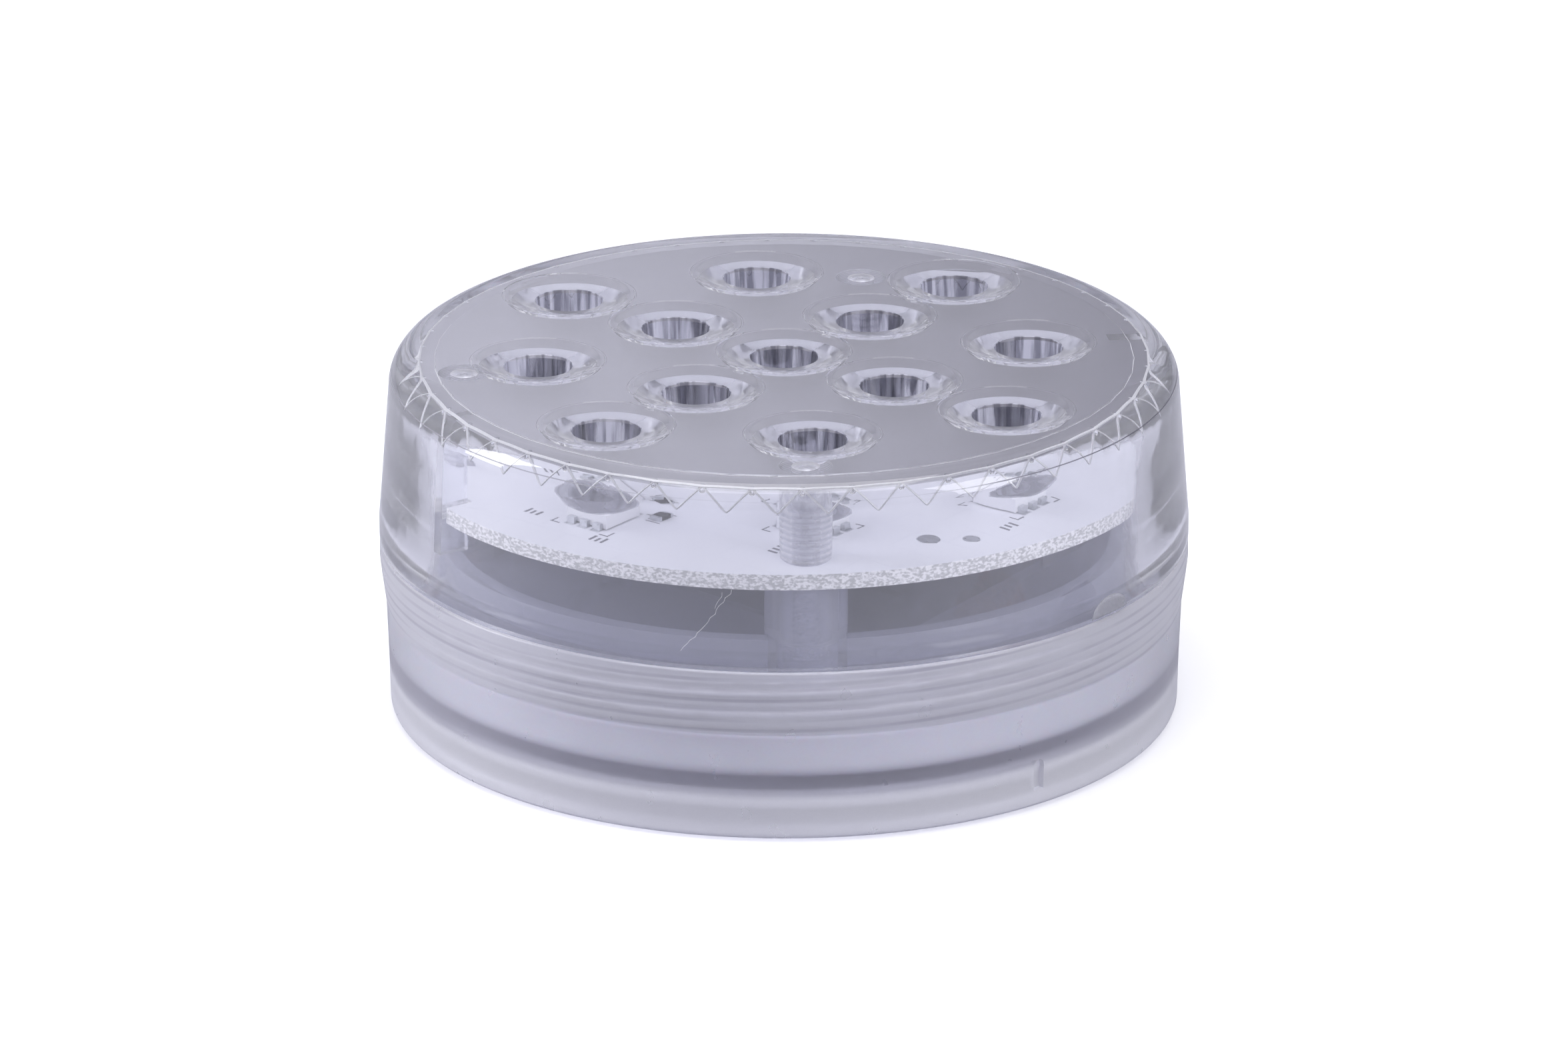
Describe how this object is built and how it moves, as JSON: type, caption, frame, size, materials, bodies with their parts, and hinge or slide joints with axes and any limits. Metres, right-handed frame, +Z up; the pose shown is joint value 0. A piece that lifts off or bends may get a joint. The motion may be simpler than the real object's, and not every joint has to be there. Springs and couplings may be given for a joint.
{
  "type": "underwater pond light",
  "caption": "Round submersible light: clear lens head with moulded collimators over LEDs, screwed on a frosted base cover that seals the battery bay.",
  "frame": {"origin": "centre of the flat face the light stands on", "axes": "+Z up through the lens along the screw axis; +X and +Y along the two arms of the LED cross, +Y towards the lone screw post"},
  "size_m": [0.0822, 0.0822, 0.037],
  "materials": {
    "frosted_plastic": "frosted translucent moulding, satin inside and gloss outside",
    "silicone": "smooth milky white silicone",
    "clear_plastic": "clear polished moulding with faint flow lines",
    "board_white": "white solder resist on glass-fibre board",
    "led_white": "satin white moulded package",
    "die_gold": "tiny semiconductor dies with gold pads",
    "led_resin": "clear encapsulant",
    "tinned_metal": "tinned and slightly dull",
    "chip_black": "moulded epoxy",
    "chip_tan": "tan ceramic",
    "can_steel": "drawn nickel-plated steel",
    "cell_can": "drawn nickel-plated can",
    "copper_wire": "enamelled copper wire",
    "tray_plastic": "translucent moulding",
    "screw_steel": "plated steel",
    "contact_nickel": "nickel-plated stamping",
    "spring_steel": "nickel-plated spring wire",
    "wire_red": "insulated wire",
    "wire_black": "insulated wire",
    "cell_wrap": "plain shrink sleeve with no print",
    "washer_white": "card washer"
  },
  "bodies": {
    "base": {"base_cover": "frosted_plastic"},
    "seal": {"sealing_ring": "silicone"},
    "head": {"lens_cover": "clear_plastic", "circuit_board": "board_white", "led_packages": "led_white", "led_dies": "die_gold", "led_windows": "led_resin", "led_terminals": "tinned_metal", "chip_resistors": "chip_black", "chip_capacitor": "chip_tan", "chip_terminals": "tinned_metal", "controller_chip": "chip_black", "controller_pins": "tinned_metal", "receiver_chip": "chip_black", "receiver_pins": "tinned_metal", "driver_transistors": "chip_black", "transistor_pins": "tinned_metal", "crystal_can": "can_steel", "antenna_coil": "copper_wire", "battery_tray": "tray_plastic", "tray_screws": "screw_steel", "positive_contact": "contact_nickel", "negative_contact": "contact_nickel", "series_links": "contact_nickel", "contact_springs": "spring_steel", "positive_wire": "wire_red", "negative_wire": "wire_black", "wire_solder": "tinned_metal", "cell_cans": "cell_can", "cell_sleeves": "cell_wrap", "cell_buttons": "can_steel", "cell_washers": "washer_white"}
  },
  "joints": [
    {"name": "head_lift", "type": "slide", "parent": "base", "child": "seal", "axis": [0, 0, 1], "range_m": [0, 0.00506]},
    {"name": "head_turn", "type": "hinge", "parent": "seal", "child": "head", "pos_m": [0, 0, 0.0183], "axis": [0, 0, 1], "range_deg": [0, 414]}
  ],
  "couplings": [
    {"joint": "head_lift", "follows": "head_turn", "m_per_rad": 0.00070028}
  ]
}
